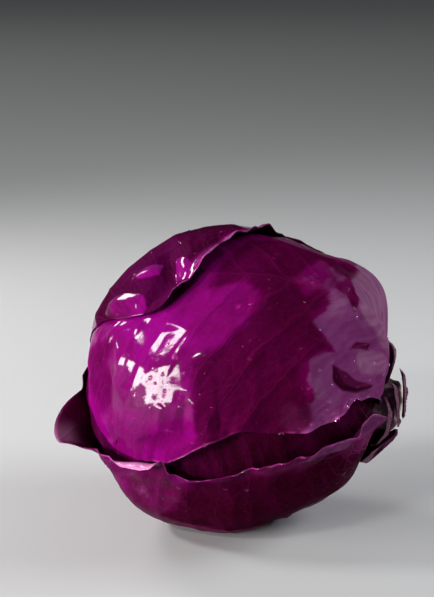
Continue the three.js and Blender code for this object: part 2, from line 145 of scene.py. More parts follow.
CURLED = (60, 100)  # how far an edge bends where a highlight starts to be painted on its lip and its film turns wet, and where it does so fully
THICKNESS = (0.5, 0.9)  # of a leaf's edge, and of its blade
RIM_WIDTH = 10
RIM_FLATTENS = 0.7  # the share of the relief that a free rim loses
RIB_SHARPNESS = 0.6  # width of the visible ribs against the part's
RIB_FILLED = 0.8  # share of a rib's height that thickens the leaf. The rest is hollow inside
FRILL, FRILL_LENGTH = 0.5, 7
CLING, CLING_RUN = 1.15, 9  # how far an edge that doesn't bend sinks towards what it lies on
LEAST_RISE = 0.6  # of a leaf's outside above what it lies on
COVER_EDGE = (-7, 1)  # mm inside a covering leaf's rim where relief starts to fade, and where it is gone
STEP_FACE = 0.7

# Relief everywhere: height, wavelength, and the seed that the layer's number is added to.
UNDULATIONS = [(0.6, 46, 10), (0.22, 22, 20)]
PUCKERS = (0.035, 9, 30)
PLEATS, PLEAT_RISE = (0.34, 34, 40), 0.28

# Folds pressed into each leaf: the path on the head, half width, and how far it rises or, if negative, sinks.
FOLDS = {
    "front": [
        ([(138, 98), (136, 88), (132, 80), (127, 76), (118, 72), (104, 58), (96, 55), (83, 45)], 4, 0.6),
        ([(147, 112), (139, 104), (131, 98), (122, 91), (113, 86), (106, 84)], 10, 2.0),
        ([(132, 57), (126, 58), (119, 60)], 2.5, 0.5),
        ([(150, 56), (150, 66), (149, 76), (147, 85)], 4, 1.1),
        ([(156, 56), (155, 64), (153, 74)], 3, 0.9),
        ([(151, 36), (141, 42), (134, 50)], 4, 1.1),
        ([(117, 84), (116, 93), (115, 100)], 2.5, -1.2),
        ([(113, 86), (112, 94), (109, 101)], 2.5, 1.3),
        ([(124, 92), (124, 100), (122, 107)], 2.5, 1.1),
        ([(108, 90), (107, 95), (106, 100)], 2.2, 1.2),
        ([(104, 88), (103, 94), (103, 99)], 2.5, -1.6),
        ([(64, 22), (61, 38), (54, 42), (44, 41), (34, 36)], 2.6, 2.0),
        ([(62, 14), (55, 28), (44, 31)], 6, -1.4),
        ([(71, 36), (65, 39), (58, 44), (50, 48)], 3, 1.5),
        ([(67, 31), (63, 37), (57, 42), (49, 45)], 1.5, -1.0),
        ([(76, 52), (68, 52), (60, 53)], 4, -1.2),
        ([(72, 74), (63, 77), (54, 74)], 2.5, 1.2),
        ([(80, 60), (76, 70), (74, 77)], 4, 1.2),
        ([(82, 32), (76, 34), (70, 38)], 3, 1.0),
        ([(78, 26), (66, 12)], 3, 0.9),
        ([(97, 60), (94, 78), (93, 92)], 5, 0.9),
    ],
    "top": [
        ([(131, 11), (128, 22), (129, 36), (136, 44), (137, 50)], 2.4, -2.2),
        ([(144, 21), (137, 24), (132, 26)], 3, 1.3),
        ([(158, 28), (149, 36), (141, 43)], 3.5, 1.3),
        ([(127, 22), (124, 30), (122, 38)], 4, 1.3),
        ([(154, 16), (146, 28), (138, 36)], 3.5, -1.2),
        ([(112, 12), (110, 20), (107, 23)], 3, -1.3),
        ([(104, 5), (101, 12), (99, 17)], 3, 1.3),
        ([(120, 0), (122, 14), (120, 26)], 4, 1.0),
    ],
    "lower": [
        ([(123, 140), (113, 132), (106, 128)], 4, 1.2),
        ([(84, 122), (82, 136), (78, 150)], 4, 0.9),
        ([(52, 86), (46, 92), (38, 96)], 3, -1.2),
        ([(70, 116), (62, 124), (50, 130)], 4, 1.0),
        ([(120, 160), (100, 168)], 5, 1.0),
        ([(80, 104), (74, 108), (68, 112)], 6, 1.5),
        ([(76, 98), (66, 98), (58, 95), (50, 92)], 2, 0.9),
        ([(66, 104), (57, 101), (48, 98)], 2.5, -1.0),
    ],
}

# Steps in each leaf: the path, how far the high side, on its left, runs before it is level again, the rise.
STEPS = {
    "front": [
        ([(66, 64), (64, 68), (61, 71), (56, 72), (50, 70), (44, 66)], 9, 3.8),
        ([(31, 42), (44, 48), (52, 52), (58, 54), (63, 58)], 7, 1.9),
    ],
}

# Where each leaf is stretched smooth, where it has little water on it, where wax is left on it, where light
# is painted on that wax as a paler colour, and where shade is painted on the leaf as a darker wine, which is
# also
# left dry. Rows: half the width of the soft edge, how much, or less than nothing to spare a place, and the
# outline.
SMOOTH = {
    "front": [
        (8, 1.0, [
            (145, 98), (140, 84), (140, 60), (128, 54), (112, 54), (105, 72), (112, 88), (121, 95),
            (130, 103),
        ]),
    ],
}
DRY = {
    "front": [
        (9, 0.42, [
            (146, 104), (152, 92), (165, 85), (176, 100), (170, 135), (150, 150), (130, 135), (112, 112),
            (101, 100), (106, 94), (114, 94), (124, 100), (134, 108),
        ]),
        (7, 0.6, [(124, 104), (118, 97), (107, 94), (100, 98), (104, 106), (114, 110), (124, 120)]),
        (5, 0.4, [
            (162, 50), (158, 66), (156, 84), (154, 100), (151, 114), (153, 139), (168, 160), (178, 90),
        ]),
        (3, 0.7, [
            (82, 24), (80, 45), (85, 60), (85, 78), (76, 90), (58, 92), (56, 82), (69, 76), (72, 66),
            (64, 58), (68, 44), (66, 28),
        ]),
    ],
}
WAX = {
    "front": [
        (4.5, 1.0, [
            (62, 24), (58, 6), (48, 350), (30, 330), (12, 30), (18, 84), (40, 92), (54, 84), (61, 76),
            (68, 78), (73, 77), (77, 72), (77, 65), (73, 62), (66, 59), (77, 51), (73, 46), (69, 36),
            (65, 35), (61, 40), (60, 32),
        ]),
        (4, 0.46, [(84, 34), (79, 28), (75, 25), (66, 12), (61, 16), (66, 30), (68, 36), (74, 40), (81, 39)]),
        (4, 0.62, [(86, 83), (82, 80), (76, 81), (70, 79), (64, 84), (72, 88), (79, 92), (85, 88)]),
        (2, 0.6, [(78, 84), (69, 75), (59, 72), (53, 80), (64, 92), (75, 94)]),
    ],
    "top": [
        (2, 0.75, [(112, 19), (107, 15), (100, 10), (95, 11), (100, 17), (108, 25), (115, 33), (118, 30)]),
        (5, 0.9, [(60, 310), (40, 290), (14, 300), (8, 0), (30, 0), (50, 340)]),
    ],
    "lower": [
        (3, 0.34, [(134, 134), (131, 143), (126, 149), (120, 150), (118, 142), (121, 130), (127, 128)]),
        (2.5, 0.75, [
            (70, 94), (58, 82), (48, 78), (36, 84), (36, 94), (46, 95), (58, 96), (68, 101), (74, 102),
        ]),
        (5, 0.9, [(34, 150), (30, 250), (12, 250), (8, 150)]),
        (2, 0.4, [(98, 136), (94, 136), (92, 143), (97, 145)]),
    ],
}
# Painted light: paler wax on the facets of the bloom that face the light.
PAINTED_LIGHT_ON_WAX = {
    "front": [
        (2.5, 1.0, [
            (64, 26), (61, 36), (56, 42), (45, 44), (34, 40), (28, 10), (40, 350), (58, 0), (67, 12),
        ]),
        (2, 0.7, [(57, 55), (48, 50), (37, 46), (33, 52), (37, 58), (47, 63), (53, 64)]),
        (3, 0.45, [(70, 36), (66, 35), (63, 37), (65, 45), (72, 47)]),
        (3, 0.35, [(72, 70), (68, 76), (61, 76), (52, 73), (56, 77), (66, 80), (74, 78), (76, 70)]),
    ],
}
# Painted shade: a darker wine on the front leaf's side turned from the window, in its pocket, notch and slot
# and along its far limb, on the top leaf's crease and top, and over the lower leaf under the head.
PAINTED_SHADE = {
    "front": [
        (6, 0.95, [
            (116, 73), (107, 64), (100, 56), (97, 43), (102, 39), (110, 41), (115, 42), (112, 32), (100, 12),
            (66, 8), (68, 26), (72, 38), (78, 49), (72, 56), (68, 59), (75, 62), (79, 67), (79, 74),
            (74, 80), (72, 86), (80, 98), (96, 102), (108, 102), (114, 88),
        ]),
        (3.2, 1.5, [(66, 65), (65, 70), (61, 73), (55, 73.5), (48, 69), (55, 68.5), (60, 66), (63, 66)]),
        (8, 0.62, [
            (149, 66), (152, 80), (147, 96), (144, 112), (152, 130), (178, 100), (170, 55), (158, 55),
        ]),
        (2.2, 1.2, [(60, 56), (57, 51), (49, 48), (49, 51), (56, 54)]),
        (4, -0.8, [(86, 34), (79, 26), (74, 18), (68, 20), (72, 34), (80, 40)]),
        (3.2, 0.75, [(70, 20), (62, 6), (57, 12), (62, 26), (65, 36), (62, 41), (60, 34), (61, 28)]),
        (1.5, 1.0, [(105, 87), (102, 87), (102, 97), (105, 98)]),
    ],
    "top": [
        (1.2, 1.2, [(132, 8), (132, 20), (134, 34), (138, 46), (134, 50), (131, 40), (128, 28), (127, 10)]),
        (4, 1.0, [
            (165, 330), (120, 335), (104, 350), (100, 8), (112, 17), (120, 26), (122, 40), (130, 52),
            (145, 60), (160, 50), (168, 30),
        ]),
        (1.5, -1.0, [(143, 20), (137, 18), (131, 20), (131, 28), (137, 28), (142, 25)]),
        (1.5, -1.0, [(128, 18), (123, 24), (120, 33), (124, 39), (128, 33), (130, 25)]),
        (2, -1.0, [(157, 25), (149, 29), (140, 38), (137, 46), (139, 54), (145, 56), (154, 46), (160, 32)]),
    ],
    "lower": [
        (7, 0.85, [
            (108, 118), (88, 110), (60, 102), (44, 102), (28, 100), (28, 150), (60, 150), (90, 150),
            (112, 150),
        ]),
    ],
}

# ---- Helpers ----


def unit(vectors):
    return vectors / np.linalg.norm(vectors, axis=-1, keepdims=True)


def smoothstep(x, low, high):
    t = np.clip((x - low) / (high - low), 0, 1)
    return t * t * (3 - 2 * t)


def lerp(a, b, t):
    return a + (b - a) * t


def bump(x):
    return np.exp(-x * x)


def ridge(x):
    return np.clip(1 - x * x, 0, 1) ** 2


def sin(degrees):
    return np.sin(np.radians(degrees))


def cos(degrees):
    return np.cos(np.radians(degrees))


def near(x, run):
    """1 at nought, falling smoothly to 0 at run."""
    return 1 - smoothstep(x, 0, run)


def degrees_between(a, b):
    return np.degrees(np.arccos(np.clip(a @ b, -1, 1)))


STEM_AXIS = unit(STEM_AXIS)
TOP = unit(np.array([0, 0, 1]) - STEM_AXIS * STEM_AXIS[2])
FRONT = np.cross(STEM_AXIS, TOP)
MM_PER_DEGREE = np.radians(1) * (INNER_RADIUS + GAP + BLADE)


def on_head(polar, turn):
    polar, turn = np.asarray(polar, float)[..., None], np.asarray(turn, float)[..., None]
    return cos(polar) * STEM_AXIS + sin(polar) * (cos(turn) * TOP + sin(turn) * FRONT)


def spot(d, polar, turn, spread):
    """1 at a place on the head, fading away over that many degrees."""
    return bump(degrees_between(d, on_head(polar, turn)) / spread)


def along_rim(rows, angle):
    """A smooth closed curve through rows that start with their angle: the other columns at any angle."""
    rows = np.array(rows, float)
    before, after = rows[-2:].copy(), rows[:2].copy()
    before[:, 0] -= 360
    after[:, 0] += 360
    rows = np.concatenate([before, rows, after])
    slopes = (rows[2:, 1:] - rows[:-2, 1:]) / (rows[2:, :1] - rows[:-2, :1])
    rows = rows[1:-1]
    angle = np.mod(angle, 360)
    i = np.clip(np.searchsorted(rows[:, 0], angle, side="right") - 1, 0, len(rows) - 2)
    width = (rows[i + 1, 0] - rows[i, 0])[..., None]
    t = (angle - rows[i, 0])[..., None] / width
    v0, v1, m0, m1 = rows[i, 1:], rows[i + 1, 1:], slopes[i] * width, slopes[i + 1] * width
    values = v0 + t * m0 + t**2 * (3 * (v1 - v0) - 2 * m0 - m1) + t**3 * (2 * (v0 - v1) + m0 + m1)
    return np.moveaxis(values, -1, 0)


def to_segment(points, a, b):
    """Distance from points to the line from a to b, and the share of the line at the nearest place."""
    share = np.clip(((points - a) @ (b - a)) / ((b - a) @ (b - a)), 0, 1)
    return np.linalg.norm(points - a - share[..., None] * (b - a), axis=-1), share


def distance_to_path(d, path):
    """Distance in mm from directions to a path, the share of the path at the nearest point, and 1 on its left
    as seen from outside, or -1."""
    best = np.full(d.shape[:-1], np.inf)
    share = np.zeros(d.shape[:-1])
    side = np.ones(d.shape[:-1])
    corners = [on_head(*corner) for corner in path]
    for i, (a, b) in enumerate(zip(corners, corners[1:])):
        apart, along = to_segment(d, a, b)
        apart = apart * INNER_RADIUS
        share = np.where(apart < best, (i + along) / (len(corners) - 1), share)
        side = np.where(apart < best, np.sign((d - a) @ np.cross(a + b, b - a)), side)
        best = np.minimum(best, apart)
    return best, share, side


def inside_outline(d, outline):
    """How far directions lie inside an outline of directions, in mm. Negative outside it."""
    corners = on_head(*np.array(outline, float).T)
    middle = unit(corners.mean(0))
    across = unit(np.cross(middle, (0.2, 0.3, 0.93)))
    plane = np.stack([across, np.cross(middle, across)], -1)
    points, corners = (2 * INNER_RADIUS * (p @ plane) / (1 + p @ middle)[..., None] for p in (d, corners))
    best = np.full(d.shape[:-1], np.inf)
    inside = np.zeros(d.shape[:-1], bool)
    x, y = points[..., 0], points[..., 1]
    for a, b in zip(corners, np.roll(corners, -1, axis=0)):
        best = np.minimum(best, to_segment(points, a, b)[0])
        if a[1] != b[1]:
            crossing = a[0] + (b[0] - a[0]) * (y - a[1]) / (b[1] - a[1])
            inside ^= ((a[1] > y) != (b[1] > y)) & (x < crossing)
    return np.where(inside, best, -best)


def waves(points, length, seed, count=28):
    """Smooth noise of about that wavelength with a spread of 1, as a sum of waves in all directions."""
    rng = np.random.default_rng(seed)
    directions = unit(rng.normal(size=(count, 3))) * rng.uniform(0.6, 1.4, (count, 1)) * 2 * np.pi / length
    return np.sin(points @ directions.T + rng.uniform(0, 2 * np.pi, count)).sum(-1) * np.sqrt(2 / count)


# ---- The pile of leaves ----

NAMES = [leaf["name"] for leaf in LEAVES]


def inner_radius(d, k):
    """Radius of the inner head as leaf number k meets it, or its own for k = -1."""
    radius = np.full(d.shape[:-1], INNER_RADIUS)
    for polar, turn, spread, rise in LUMPS:
        radius += rise * spot(d, polar, turn, spread)
    for name, path, width, depth in FURROWS:
        layer = NAMES.index(name) if name in NAMES else -1
        if k > layer:
            continue
        size = 1 if k == layer else HOLLOW
        apart, share, _ = distance_to_path(d, path)
        radius -= size * depth * bump(apart / (size * width)) * lerp(FURROW_END, 1, sin(180 * share))
    foot = (HEAD_CENTRE[2] - GAP - BLADE) / np.maximum(-d[..., 2], 1e-6)
    return np.where(d[..., 2] < 0, np.minimum(radius, foot), radius)


def set_directions(leaf):
    """Adds the leaf's middle, the ways from there to its tip and its side, and where its midrib starts."""
    polar, turn = leaf["centre"]
    leaf["foot"] = (LEAF_START - polar) * MM_PER_DEGREE
    leaf["middle"] = on_head(polar, turn)
    leaf["to_tip"] = on_head(polar + 90, turn)
    leaf["to_side"] = on_head(90, turn + 90)


for leaf in LEAVES:
    set_directions(leaf)


def rim_at(leaf, angle):
    """The leaf's reach at an angle, how far its edge bends outward, over what length, and how free it is."""
    reach, bend, run = along_rim(leaf["rim"], angle)
    few, many = RIM_RIPPLE_COUNTS
    free = np.clip(bend / FREE_BEND, 0, 1)
    ripple = sin(few * angle + leaf["centre"][0]) + 0.6 * sin(many * angle + leaf["centre"][1])
    return reach + RIM_RIPPLE * free * ripple, np.maximum(bend, 0), run, free


def leaf_direction(leaf, reach, angle):
    reach, angle = np.asarray(reach)[..., None], np.asarray(angle)[..., None]
    away = cos(angle) * leaf["to_tip"] + sin(angle) * leaf["to_side"]
    return cos(reach) * leaf["middle"] + sin(reach) * away


def leaf_chart(leaf, d):
    angle = np.degrees(np.arctan2(d @ leaf["to_side"], d @ leaf["to_tip"]))
    return degrees_between(d, leaf["middle"]), angle


def chart_mm(leaf, reach, angle):
    """Distance along the midrib from where it starts, and across it."""
    return reach * cos(angle) * MM_PER_DEGREE - leaf["foot"], reach * sin(angle) * MM_PER_DEGREE


def side_rib(leaf, along, across):
    """The nearest side rib: how far along the midrib it starts, and how far off it lies."""
    foot = along - np.abs(across) / np.tan(np.radians(leaf["lean"])) + SIDE_RIB_SWEEP * across**2
    nearest = np.round(foot / SIDE_RIB_SPACING) * SIDE_RIB_SPACING
    return nearest, (foot - nearest) * sin(leaf["lean"])


def rib_height(leaf, reach, angle, filled=False, sharp=1.0):
    """How far the ribs stand out of the blade. Between the side ribs too, if filled. sharp narrows them."""
    along, across = chart_mm(leaf, reach, angle)
    across = np.abs(across)
    tip = rim_at(leaf, np.zeros(1))[0][0] * MM_PER_DEGREE * RIB_END - leaf["foot"]
    share = np.clip(along / tip, 0, 1)
    half_width = lerp(*RIB_HALF_WIDTHS, np.sqrt(share)) * sharp + (RIB_SPARE if filled else 0)
    midrib = RIB_HEIGHT * (1 - share) ** 1.2 * ridge(across / half_width)
    nearest, apart = side_rib(leaf, along, across)
    full, end = SIDE_RIB_RUN
    fade = np.clip(1 - across / end, 0, 1) * smoothstep(across, 0, full) * (1 - 0.6 * share) * (nearest > 0)
    shape = 1 if filled else ridge(apart / (SIDE_RIB_HALF_WIDTH * sharp))
    return np.maximum(midrib, SIDE_RIB_HEIGHT * fade * shape)


def inside_rim(leaf, d):
    """How far directions lie inside the leaf's rim, in mm. Negative outside it."""
    reach, angle = leaf_chart(leaf, d)
    return (rim_at(leaf, angle)[0] - reach) * MM_PER_DEGREE


def pile_radius(d, k):
    """Radius of the top of the pile of leaves below leaf number k."""
    radius = inner_radius(d, k)
    for leaf in LEAVES[:k]:
        reach, angle = leaf_chart(leaf, d)
        cover = smoothstep(inside_rim(leaf, d), -STEP_CLEAR - STEP_RUN, -STEP_CLEAR)
        radius += cover * (GAP + BLADE + rib_height(leaf, reach, angle, filled=True))
    return radius


def bare(d, k):
    """1 where nothing lies on layer number k, falling to 0 at the rim of what covers it."""
    share = np.ones(d.shape[:-1])
    for leaf in LEAVES[k + 1 :]:
        share *= 1 - smoothstep(inside_rim(leaf, d), *COVER_EDGE)
    return share


def rows_on(k, table):
    """The rows of a table that are for layer number k. The inner head, -1, has none."""
    return table.get(NAMES[k], []) if k >= 0 else []


def patches(d, k, table):
    """The soft-edged patches of a table that lie on layer number k, added up, from 0 to 1."""
    total = np.zeros(d.shape[:-1])
    for soft, amount, outline in rows_on(k, table):
        total += amount * smoothstep(inside_outline(d, outline), -soft, soft)
    return np.clip(total, 0, 1)


def crease(x):
    """A fold's section: 1 at its line, with a tight round top and soft sides."""
    return np.exp(0.25 - np.sqrt(x * x + 0.0625))


def fading(share):
    """1 along most of a path, falling to 0 at both its ends."""
    return np.sqrt(np.clip(sin(180 * share), 0, 1))


def relief(d, k):
    """Height of the folds, puckers and undulations of layer number k, in mm."""

    def noise(size, length, seed):
        return size * waves(d * INNER_RADIUS, length, seed + k)

    broad = sum(noise(*row) for row in UNDULATIONS) + PLEAT_RISE - np.abs(noise(*PLEATS))
    height = broad * (1 - patches(d, k, SMOOTH)) + noise(*PUCKERS)
    for path, width, rise in rows_on(k, FOLDS):
        apart, share, _ = distance_to_path(d, path)
        height += rise * crease(apart / width) * fading(share)
    for path, run, rise in rows_on(k, STEPS):
        apart, share, side = distance_to_path(d, path)
        profile = smoothstep(side * apart, -STEP_FACE, STEP_FACE) * near(apart, run)
        height += rise * profile * fading(share)
    return height * bare(d, k)


def leaf_surface(k, angle, share):
    """Both faces of leaf number k, and what its material needs to know of each point."""
    leaf = LEAVES[k]
    reach, bend, run, free = rim_at(leaf, angle)
    whole = reach * MM_PER_DEGREE
    length = whole * share
    bent = np.maximum(0, length - (whole - run))
    curvature = np.radians(np.maximum(bend, 0.5)) / run
    turned = curvature * bent
    flat = (length - bent + np.sin(turned) / curvature) / MM_PER_DEGREE
    rise = (1 - np.cos(turned)) / curvature
    d = leaf_direction(leaf, flat, angle)
    outward = leaf_direction(leaf, flat + 90, angle)
    normal = d * np.cos(turned)[..., None] - outward * np.sin(turned)[..., None]
    from_rim = whole - length

    few, many = EDGE_WAVE_COUNTS
    wave = 1 + sin(few * angle) + 0.6 * sin(many * angle + 50)
    lift = EDGE_WAVE * free * wave * near(from_rim, EDGE_WAVE_DEPTH)
    frill = waves(d * INNER_RADIUS, FRILL_LENGTH, 50 + k) * FRILL * free * near(from_rim, FRILL_LENGTH)
    cling = CLING * (1 - free) * near(from_rim, CLING_RUN)

    flatten = 1 - RIM_FLATTENS * free * near(from_rim, RIM_WIDTH)
    height = pile_radius(d, k) + GAP + rise - cling
    ribs = rib_height(leaf, flat, angle, sharp=RIB_SHARPNESS)
    top = BLADE + lift + frill + ribs + relief(d, k) * flatten
    top = np.maximum(top, LEAST_RISE - GAP - rise + cling)
    outer = d * height[..., None] + normal * top[..., None]
    thickness = lerp(*THICKNESS, smoothstep(from_rim, 0, RIM_WIDTH)) + RIB_FILLED * ribs
    inner = outer - normal * thickness[..., None]

    depth = -outer[..., 2]
    over = np.where(depth > HEAD_CENTRE[2], HEAD_CENTRE[2] / np.maximum(depth, 1e-6), 1)[..., None]
    along, across = chart_mm(leaf, length / MM_PER_DEGREE, angle)
    facts = {
        "chart": np.stack([along, across, from_rim], -1),
        "stem": degrees_between(d, STEM_AXIS),
        "free": free,
        "bare": bare(d, k),
        "curled": smoothstep(bend, *CURLED),
    }
    # pale carries the light painted on the wax, and dark the painted shade.
    for label, rows in (("dry", DRY), ("wax", WAX), ("pale", PAINTED_LIGHT_ON_WAX), ("dark", PAINTED_SHADE)):
        facts[label] = patches(d, k, rows)
    return outer * over, inner * over, facts


# ---- Meshes ----

# Cells along each side of a leaf's grid, and how many times fewer its inner face has.
LEAF_CELLS, INNER_COARSER = ((276, 3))


def border(cells):
    """The points on the border of a square grid, once round."""
    index = np.arange((cells + 1) ** 2).reshape(cells + 1, cells + 1)
    sides = index[0, :-1], index[:-1, -1], index[-1, :0:-1], index[:0:-1, 0]
    return np.concatenate(sides).tolist()


def grid_quads(cells, start=0, flip=False):
    """The quads of a square grid whose first point has that number."""
    i, j = np.meshgrid(np.arange(cells), np.arange(cells), indexing="ij")
    a = (start + j * (cells + 1) + i).ravel()
    quads = np.stack([a, a + 1, a + cells + 2, a + cells + 1], -1)
    return quads[:, ::-1] if flip else quads


def new_object(name, data):
    thing = bpy.data.objects.new(name, data)
    bpy.context.scene.collection.objects.link(thing)
    return thing


def new_piece(name, points, faces, attributes, material, slot, nodes):
    """A Blender object from points in mm round the head's centre, that rides with the part."""
    mesh = bpy.data.meshes.new(name)
    mesh.from_pydata(((points + HEAD_CENTRE) * MM).tolist(), [], faces)
    for label, values in attributes.items():
        kind, field = ("FLOAT_VECTOR", "vector") if values.ndim == 2 else ("FLOAT", "value")
        layer = mesh.attributes.new(label, kind, "POINT")
        layer.data.foreach_set(field, values.astype(np.float32).ravel())
    mesh.polygons.foreach_set("use_smooth", [True] * len(mesh.polygons))
    mesh.materials.append(material)
    piece = new_object(name, mesh)
    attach(piece, "root")
    if nodes:
        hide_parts(*nodes)
    return piece


def sheet_piece(name, surface, *rest):
    """A closed sheet. surface(u, v) gives its outer and inner face, and the inner one is coarser."""

    def face(cells):
        v, u = np.meshgrid(*[np.linspace(0, 1, cells + 1)] * 2, indexing="ij")
        return surface(u.ravel(), v.ravel())

    few = LEAF_CELLS // INNER_COARSER
    outer, _, outer_facts = face(LEAF_CELLS)
    _, inner, inner_facts = face(few)
    faces = grid_quads(LEAF_CELLS).tolist() + grid_quads(few, len(outer), flip=True).tolist()
    rim = border(LEAF_CELLS)
    low = [len(outer) + point for point in border(few)]
    for n, start in enumerate(low):
        end = low[(n + 1) % len(low)]
        faces.append((start, end, rim[(n + 1) * INNER_COARSER % len(rim)]))
        for m in range(n * INNER_COARSER, (n + 1) * INNER_COARSER):
            faces.append((start, rim[(m + 1) % len(rim)], rim[m]))
    facts = {label: np.concatenate([outer_facts[label], inner_facts[label]]) for label in outer_facts}
    facts["inside"] = np.repeat([0.0, 1.0], [len(outer), len(inner)])
    return new_piece(name, np.concatenate([outer, inner]), faces, facts, *rest)


def on_disc(u, v):
    """The square from 0 to 1 laid evenly on a disc: angle and share of the radius."""
    x, y = 2 * u - 1, 2 * v - 1
    wide = np.abs(x) > np.abs(y)
    radius = np.where(wide, x, y)
    safe = np.where(radius == 0, 1, radius)
    angle = np.where(wide, 45 * y / safe, 90 - 45 * x / safe)
    return np.where(radius < 0, angle + 180, angle), np.abs(radius)


# ---- Materials ----


class Value:
    """What comes out of a node. It can be added, multiplied and so on, like a number."""

    def __init__(self, shader, socket):
        self.shader = shader
        self.socket = socket

    def __add__(self, other):
        return self.shader.math("ADD", self, other)

    def __sub__(self, other):
        return self.shader.math("SUBTRACT", self, other)

    def __rsub__(self, other):
        return self.shader.math("SUBTRACT", other, self)

    def __mul__(self, other):
        return self.shader.math("MULTIPLY", self, other)

    def __truediv__(self, other):
        return self.shader.math("DIVIDE", self, other)


class Shader:
    """Builds a material's node tree in a few words. Inputs can be values, numbers or colours."""

    def __init__(self, name):
        self.material = bpy.data.materials.new(name)
        self.material.use_nodes = True
        self.tree = self.material.node_tree

    def node(self, kind, settings=None, output=0, **inputs):
        """A new node's output. Inputs are given by name, with _ for a space, or by number, as in _1."""
        node = self.tree.nodes.new("ShaderNode" + kind)
        for key, value in (settings or {}).items():
            setattr(node, key, value)
        for key, value in inputs.items():
            self.put(node.inputs[int(key[1:]) if key[1:].isdigit() else key.replace("_", " ")], value)
        return Value(self, node.outputs[output])

    def put(self, socket, value):
        if isinstance(value, Value):
            self.tree.links.new(value.socket, socket)
        elif isinstance(value, tuple) and len(value) == 3 and socket.type == "RGBA":
            socket.default_value = (*value, 1)
        else:
            socket.default_value = value

    def attribute(self, name, output="Fac"):
        return self.node("Attribute", {"attribute_name": name}, output)

    def math(self, operation, a, b=0.0):
        return self.node("Math", {"operation": operation}, _0=a, _1=b)

    def largest(self, first, *others):
        for other in others:
            first = self.math("MAXIMUM", first, other)
        return first

    def split(self, vector):
        return [self.node("SeparateXYZ", None, axis, Vector=vector) for axis in "XYZ"]

    def join(self, x, y, z):
        return self.node("CombineXYZ", X=x, Y=y, Z=z)

    def span(self, value, low, high, to_low=0.0, to_high=1.0):
        """value mapped smoothly from low..high to to_low..to_high."""
        ends = {"From_Min": low, "From_Max": high, "To_Min": to_low, "To_Max": to_high}
        return self.node("MapRange", {"interpolation_type": "SMOOTHSTEP"}, Value=value, **ends)

    def fade(self, value, full, none):
        return self.span(value, full, none, 1.0, 0.0)

    def mix(self, share, a, b, blend="MIX"):
        return self.node("Mix", {"data_type": "RGBA", "blend_type": blend}, 2, Factor=share, _6=a, _7=b)

    def noise(self, vector, scale, detail=3.0, roughness=0.5, distortion=0.0):
        looks = {"Scale": scale, "Detail": detail, "Roughness": roughness, "Distortion": distortion}
        return self.node("TexNoise", Vector=vector, **looks)

    def cells(self, vector, scale, feature="DISTANCE_TO_EDGE"):
        return self.node("TexVoronoi", {"feature": feature}, Vector=vector, Scale=scale)

    def bumped(self, height, strength=1.0):
        """height is in mm."""
        return self.node("Bump", Height=height, Strength=strength, Distance=MM)

    def finish(self, **inputs):
        principled = self.tree.nodes["Principled BSDF"]
        for key, value in inputs.items():
            self.put(principled.inputs[key.replace("_", " ")], value)
        return self.material


DULL = {"IOR": 1.05, "Specular_IOR_Level": 0.1}  # under the wet film a leaf hardly shines


def leaf_veins(s, along, across, place, lean):
    """Where the vein through a point starts on the midrib, and how strong ribs, branches and net are there.

    The side ribs start at a steady spacing and lean towards the crown. The rest are the edges of cells."""
    aside = s.math("ABSOLUTE", across)
    foot = along - aside / float(np.tan(np.radians(lean))) + aside * aside * SIDE_RIB_SWEEP
    foot = foot + (s.noise(place, 0.045, 2) - 0.5) * 13.0
    from_side_rib = s.math("PINGPONG", foot, SIDE_RIB_SPACING / 2) / s.span(aside, 0, 80, 1.5, 0.55)
    from_midrib = aside / s.span(along, 0, 130, 6.5, 0.9)
    ribs = s.largest(s.fade(from_side_rib, 0.25, 1.0), s.fade(from_midrib, 0.35, 1.0))
    branches = s.fade(s.cells(s.join(foot * 1.35, across, 0.0), 0.085), 0.012, 0.055)
    net = s.fade(s.cells(place, 0.26), 0.02, 0.12)
    return foot, ribs, branches, net


def leaf_pigment(s, place, streaks, dark, deep, bright):
    """The blade's colour: its own from deep to bright in clouds and streaks, speckled, and painted shade as a
    darker wine where dark is high.
    """
    clouds = s.noise(place, 0.022, 4, 0.55, 0.6)
    colour = s.mix(s.span(clouds * 0.75 + streaks * 0.35, 0.36, 0.70), deep, bright)
    colour = s.mix(s.span(clouds, 0.42, 0.66) * 0.2, colour, (0.16, 0.0, 0.16))
    speckle = s.noise(place, 0.9, 5, 0.7)
    colour = s.mix(s.span(speckle, 0.35, 0.7, 0.0, 0.2), colour, tuple(0.35 * c for c in deep))
    # Painted shade: dark mixes in this darker wine.
    wine = (0.44 * deep[0], 0.8 * deep[1], 0.29 * deep[2])
    return s.mix(dark * 0.85, colour, wine)


def leaf_wax(s, place, streaks, dark):
    """How much wax lies on the blade, ragged where it has been rubbed off and gone where shade is painted,
    and the wax's colour, paler where light is painted on it.
    """
    ragged = (s.noise(place, 0.05, 6, 0.65, 0.8) - 0.5) * 0.9
    thin = s.span(s.noise(place, 0.035, 5, 0.65, 0.4), 0.32, 0.66, 0.75, 1.0)
    bloom = s.span(s.attribute("wax") + ragged, 0.30, 0.62) * (thin * s.span(dark, 0, 1, 1.0, 0.1))
    # Painted light: the wax goes paler where pale is high.
    pale = s.span(s.attribute("pale") + ragged * 0.6, 0.1, 0.9)
    colour = s.mix(pale, (0.165, 0.042, 0.140), (0.240, 0.112, 0.198))
    return bloom, s.mix(s.span(streaks, 0.38, 0.62, 0.45, 0.0), colour, (0.120, 0.016, 0.095))


def leaf_edge(s, place, from_rim, near_stem):
    """How much a point belongs to the thin free edge, which comes and goes and partly paints glints, and to
    the curled lip, where a highlight is painted and the film is wet.
    """
    edge = s.fade(from_rim, 0.2, s.span(near_stem, 0, 1, 1.8, 5.0))
    edge = edge * s.span(s.attribute("free"), 0.5, 1.0)
    edge = edge * s.span(s.noise(place, 0.09), 0.42, 0.62, 0.1, 1.0)
    return edge, s.attribute("curled") * s.span(from_rim, 4, 14, 0.8, 0.0)


